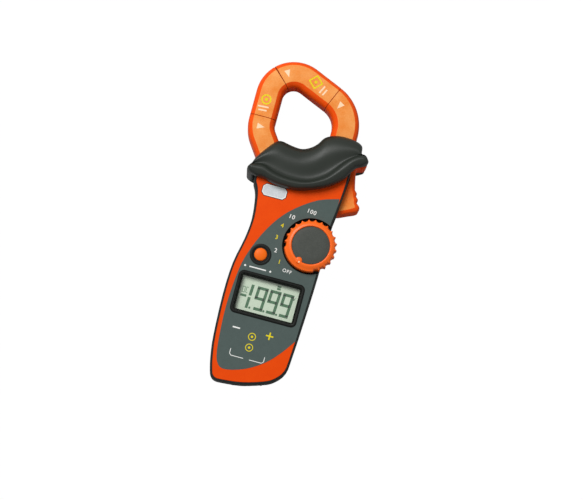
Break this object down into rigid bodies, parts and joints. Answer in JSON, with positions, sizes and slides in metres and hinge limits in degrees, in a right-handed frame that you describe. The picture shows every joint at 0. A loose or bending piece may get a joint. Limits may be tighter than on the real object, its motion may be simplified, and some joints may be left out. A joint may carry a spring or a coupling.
{
  "type": "clamp meter",
  "caption": "Hand-held clamp meter: sprung jaw opened by a side trigger, turning function dial, hold button, display and two shrouded test lead jacks.",
  "frame": {"origin": "middle of the meter's outline, on the plane of its back, which it lies on", "axes": "+Y from the bottom end towards the jaws, +X to the right seen from the face, +Z out of the face"},
  "size_m": [0.0775, 0.1976, 0.039],
  "materials": {
    "case_dark": "satin",
    "guard_rubber": "soft satin",
    "orange_plate": "satin",
    "orange_jaw": "fine grain",
    "grey_label": "matt print",
    "dial_grey": "satin",
    "black_trim": "satin",
    "clear_pane": "clear",
    "lcd_green": "matt",
    "steel": "bright",
    "core_steel": "laminated",
    "brass": "turned",
    "copper": "wound wire",
    "board": "solder mask",
    "white_plastic": "natural",
    "black_rubber": "matt",
    "cell_wrap": "shrink wrap"
  },
  "bodies": {
    "housing": {"rear_cover": "case_dark", "front_cover": "case_dark", "face_plate": "orange_plate", "function_label": "grey_label", "front_guard": "guard_rubber", "rear_guard": "guard_rubber", "battery_cover": "case_dark", "battery_cover_screw": "steel", "case_screws": "steel", "guard_screw": "steel", "battery_cell_left": "cell_wrap", "battery_cell_right": "cell_wrap", "battery_contacts": "steel", "battery_springs": "steel", "main_board": "board", "board_screws": "steel", "meter_chip": "black_trim", "board_resistors": "white_plastic", "buzzer": "black_trim", "lcd_bezel": "black_trim", "lcd_pane": "clear_pane", "lcd_cell": "lcd_green", "lcd_holder": "white_plastic", "lcd_rubber_strips": "black_rubber", "button_ring": "black_trim", "button_switch": "black_trim", "jack_sleeves": "black_trim", "jack_sockets": "brass", "fixed_jaw_front_shell": "orange_jaw", "fixed_jaw_rear_shell": "orange_jaw", "fixed_jaw_core": "core_steel", "fixed_jaw_coil": "copper", "pivot_pin": "steel", "return_spring": "steel"},
    "jaw_lever": {"moving_jaw_front_shell": "orange_jaw", "moving_jaw_rear_shell": "orange_jaw", "moving_jaw_core": "core_steel", "trigger_lever": "orange_jaw"},
    "dial": {"dial_knob": "orange_jaw", "dial_disc": "dial_grey", "dial_rotor": "white_plastic", "dial_wiper": "brass"},
    "button": {"hold_button": "orange_jaw", "button_plunger": "white_plastic"}
  },
  "joints": [
    {"name": "jaw_open", "type": "hinge", "parent": "housing", "child": "jaw_lever", "pos_m": [0.0212, 0.0402, 0.017], "axis": [0, 0, -1], "range_deg": [0, 27], "stiffness_Nm_per_rad": 0.6, "springref_deg": -11.46},
    {"name": "dial_turn", "type": "hinge", "parent": "housing", "child": "dial", "pos_m": [0.0167, -0.0086, 0.03], "axis": [0, 0, -1], "range_deg": [0, 132]},
    {"name": "hold_press", "type": "slide", "parent": "housing", "child": "button", "axis": [0, 0, -1], "range_m": [0, 0.0012], "stiffness_N_per_m": 800, "springref_m": -0.0005}
  ]
}
